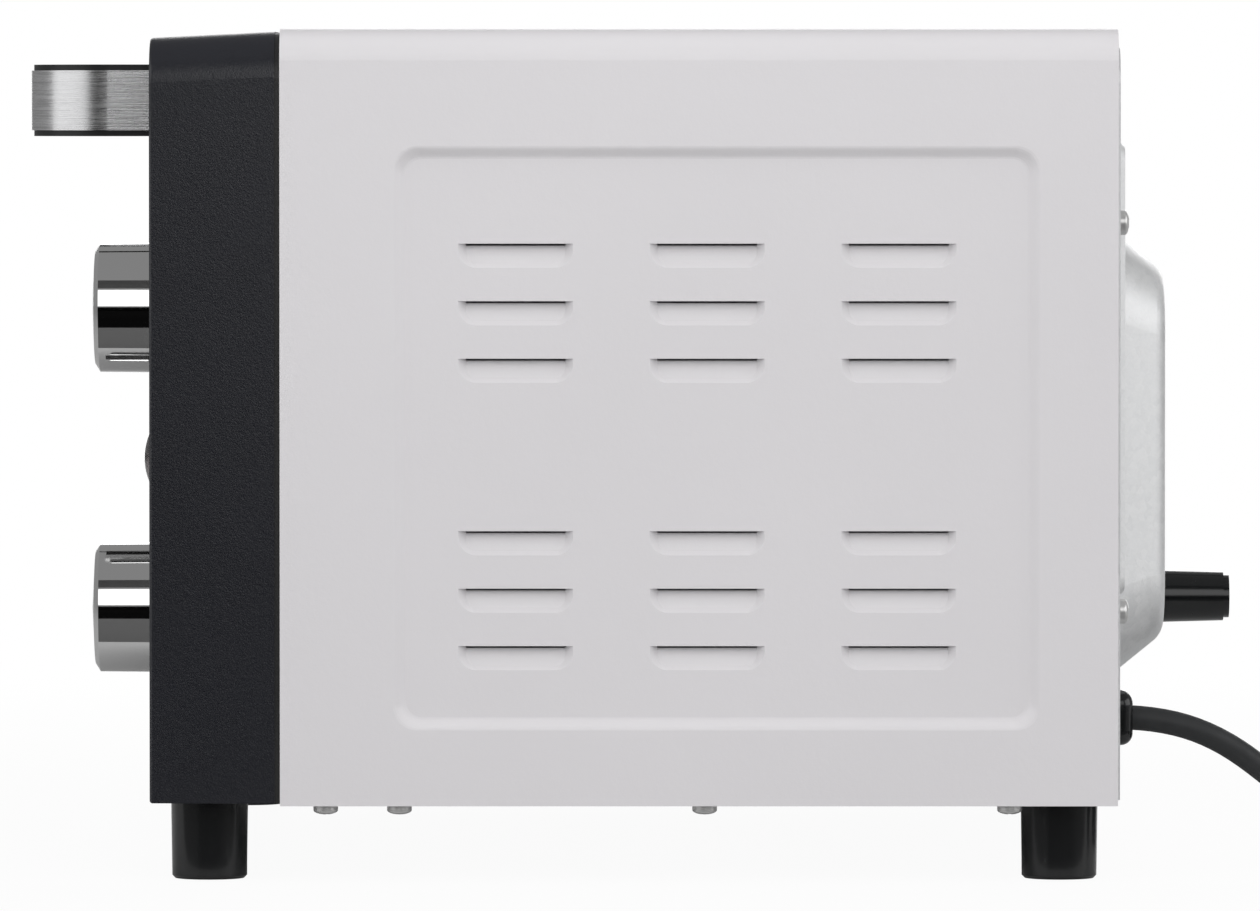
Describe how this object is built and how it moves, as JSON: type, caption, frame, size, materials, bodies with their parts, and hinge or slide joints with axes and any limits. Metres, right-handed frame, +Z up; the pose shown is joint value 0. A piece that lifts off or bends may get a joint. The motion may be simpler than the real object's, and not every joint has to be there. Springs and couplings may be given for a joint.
{
  "type": "mini oven",
  "caption": "Countertop mini oven with a drop-down glass door, rack and trays, two knobs, pilot lamp, louvred shell and mains lead.",
  "frame": {"origin": "on the surface that the feet stand on, under the middle of the oven without its mains lead", "axes": "+Z up, +X towards the control side (the right of someone facing the door), +Y towards the back, so the door faces -Y"},
  "size_m": [0.46, 0.564, 0.282],
  "materials": {
    "shell_paint": "satin powder paint",
    "frame_plastic": "fine-grained",
    "dark_plate": "satin",
    "galvanised": "galvanised",
    "zinc_screws": "bright zinc",
    "black_gloss": "gloss",
    "door_plastic": "satin",
    "door_glass": "tinted",
    "inner_glass": "clear",
    "silicone": "matte",
    "aluminised": "aluminised",
    "element_sheath": "oxidised",
    "ceramic": "glazed ceramic",
    "rack_chrome": "chrome plate",
    "enamel": "enamel",
    "crumb_aluminium": "mill finish",
    "handle_plastic": "satin",
    "handle_steel": "brushed",
    "knob_metal": "polished, satin face",
    "pin_steel": "ground",
    "cream_plastic": "matte",
    "timer_steel": "zinc plated",
    "bell_steel": "nickel plated",
    "copper": "drawn copper",
    "lens_smoke": "smoked",
    "cord_rubber": "matte",
    "plug_metal": "nickel plated"
  },
  "bodies": {
    "housing": {"wrap_shell": "shell_paint", "front_frame": "frame_plastic", "front_plate": "dark_plate", "hinge_pins": "pin_steel", "base_plate": "galvanised", "back_panel": "galvanised", "wall_standoff": "black_gloss", "standoff_cap": "black_gloss", "standoff_screw": "zinc_screws", "feet": "black_gloss", "foot_screws": "zinc_screws", "base_screws": "zinc_screws", "rear_screws": "zinc_screws", "cavity_liner": "aluminised", "cavity_rear": "aluminised", "upper_elements": "element_sheath", "lower_elements": "element_sheath", "element_insulators": "ceramic", "shelf_runners": "aluminised", "partition": "galvanised", "control_bracket": "galvanised", "thermostat_body": "cream_plastic", "thermostat_capillary": "copper", "timer_body": "timer_steel", "timer_bell": "bell_steel", "pilot_lens": "lens_smoke", "pilot_bezel": "black_gloss", "pilot_lamp": "cream_plastic", "terminal_block": "cream_plastic", "cord_gland": "black_gloss", "power_cord": "cord_rubber", "cord_coil": "cord_rubber", "cord_tail": "cord_rubber", "plug_body": "cord_rubber", "plug_pins": "plug_metal"},
    "door": {"door_frame": "door_plastic", "door_outer_glass": "door_glass", "door_inner_glass": "inner_glass", "glass_spacer": "silicone", "door_inner_panel": "aluminised", "door_screws": "zinc_screws", "rack_hooks": "pin_steel", "handle_core": "handle_plastic", "handle_strip": "handle_steel", "handle_screws": "zinc_screws"},
    "rack": {"wire_rack": "rack_chrome", "baking_tray": "enamel"},
    "crumb_drawer": {"crumb_tray": "crumb_aluminium", "crumb_tray_front": "door_plastic"},
    "thermostat_control": {"thermostat_knob": "knob_metal", "thermostat_shaft": "pin_steel"},
    "timer_control": {"timer_knob": "knob_metal", "timer_shaft": "pin_steel"}
  },
  "joints": [
    {"name": "door_hinge", "type": "hinge", "parent": "housing", "child": "door", "pos_m": [0, -0.14925, 0.058], "axis": [1, 0, 0], "range_deg": [0, 86]},
    {"name": "rack_slide", "type": "slide", "parent": "housing", "child": "rack", "axis": [0, -1, 0], "range_m": [0, 0.0865]},
    {"name": "crumb_tray_slide", "type": "slide", "parent": "housing", "child": "crumb_drawer", "axis": [0, -1, 0], "range_m": [0, 0.17]},
    {"name": "thermostat_turn", "type": "hinge", "parent": "housing", "child": "thermostat_control", "pos_m": [0.178, -0.16125, 0.1892], "axis": [0, 1, 0], "range_deg": [-278.8, 0]},
    {"name": "timer_turn", "type": "hinge", "parent": "housing", "child": "timer_control", "pos_m": [0.178, -0.16125, 0.0889], "axis": [0, 1, 0], "range_deg": [-30, 300]}
  ],
  "couplings": [
    {"joint": "rack_slide", "follows": "door_hinge", "m_per_rad": 0.0573}
  ]
}
